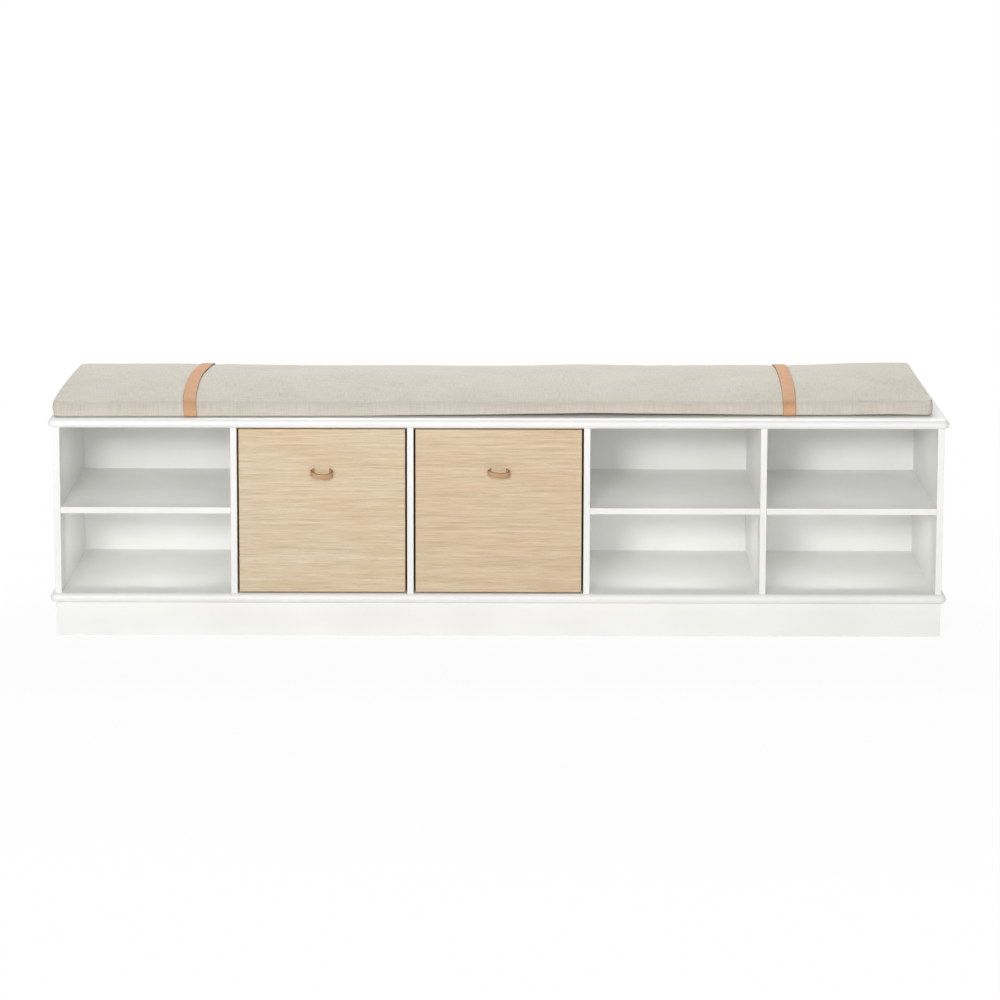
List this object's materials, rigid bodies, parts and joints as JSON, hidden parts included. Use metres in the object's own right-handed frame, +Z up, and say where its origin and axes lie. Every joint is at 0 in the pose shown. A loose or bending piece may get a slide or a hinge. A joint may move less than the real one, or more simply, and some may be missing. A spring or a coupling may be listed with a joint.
{
  "type": "storage bench with toy boxes",
  "caption": "Low white storage bench with round-nosed boards, open shelf columns, pull-out wooden toy boxes with leather loops, and a seat cushion held by leather straps.",
  "frame": {"origin": "on the floor, under the middle of the case, half way between the nose of the boards and the rear face", "axes": "+X runs along the bench to its right-hand end seen from the front, -Y is the front, +Z is up"},
  "size_m": [1.695, 0.3924, 0.4743],
  "materials": {
    "white_lacquer": "white satin lacquer on smooth board",
    "oak_veneer": "pale oiled oak veneer, fine straight grain",
    "birch_plywood": "raw, sanded",
    "spruce": "raw, sawn",
    "tan_leather": "natural vegetable-tanned, cut edges darker",
    "zinc_steel": "zinc plated",
    "grey_felt": "pressed wool felt",
    "linen_cover": "natural linen, plain weave",
    "cushion_foam": "open-cell foam"
  },
  "bodies": {
    "case": {"top_board": "white_lacquer", "bottom_board": "white_lacquer", "top_tongues": "birch_plywood", "bottom_tongues": "birch_plywood", "side_left": "white_lacquer", "side_right": "white_lacquer", "divider_1": "white_lacquer", "divider_2": "white_lacquer", "divider_3": "white_lacquer", "divider_4": "white_lacquer", "shelf_1": "white_lacquer", "shelf_4": "white_lacquer", "shelf_5": "white_lacquer", "back_panel": "white_lacquer", "plinth_front": "white_lacquer", "plinth_back": "white_lacquer", "plinth_end_left": "white_lacquer", "plinth_end_right": "white_lacquer", "plinth_cross_rail_1": "white_lacquer", "plinth_cross_rail_2": "white_lacquer", "plinth_cross_rail_3": "white_lacquer", "plinth_glue_blocks": "spruce"},
    "toy_box_left": {"toy_box_left_front": "oak_veneer", "toy_box_left_left_wall": "oak_veneer", "toy_box_left_right_wall": "oak_veneer", "toy_box_left_back_wall": "oak_veneer", "toy_box_left_bottom": "oak_veneer", "toy_box_left_felt_glides": "grey_felt", "toy_box_left_pull_loop": "tan_leather", "toy_box_left_pull_screws": "zinc_steel"},
    "toy_box_right": {"toy_box_right_front": "oak_veneer", "toy_box_right_left_wall": "oak_veneer", "toy_box_right_right_wall": "oak_veneer", "toy_box_right_back_wall": "oak_veneer", "toy_box_right_bottom": "oak_veneer", "toy_box_right_felt_glides": "grey_felt", "toy_box_right_pull_loop": "tan_leather", "toy_box_right_pull_screws": "zinc_steel"},
    "seat_cushion": {"cushion_cover": "linen_cover", "cushion_foam": "cushion_foam", "cushion_strap_left": "tan_leather", "cushion_strap_right": "tan_leather"}
  },
  "joints": [
    {"name": "toy_box_left_slide", "type": "slide", "parent": "case", "child": "toy_box_left", "axis": [0, -1, 0], "range_m": [0, 0.36]},
    {"name": "toy_box_right_slide", "type": "slide", "parent": "case", "child": "toy_box_right", "axis": [0, -1, 0], "range_m": [0, 0.36]},
    {"name": "seat_cushion_lift", "type": "slide", "parent": "case", "child": "seat_cushion", "axis": [0, 0, 1], "range_m": [0, 0.12]}
  ]
}
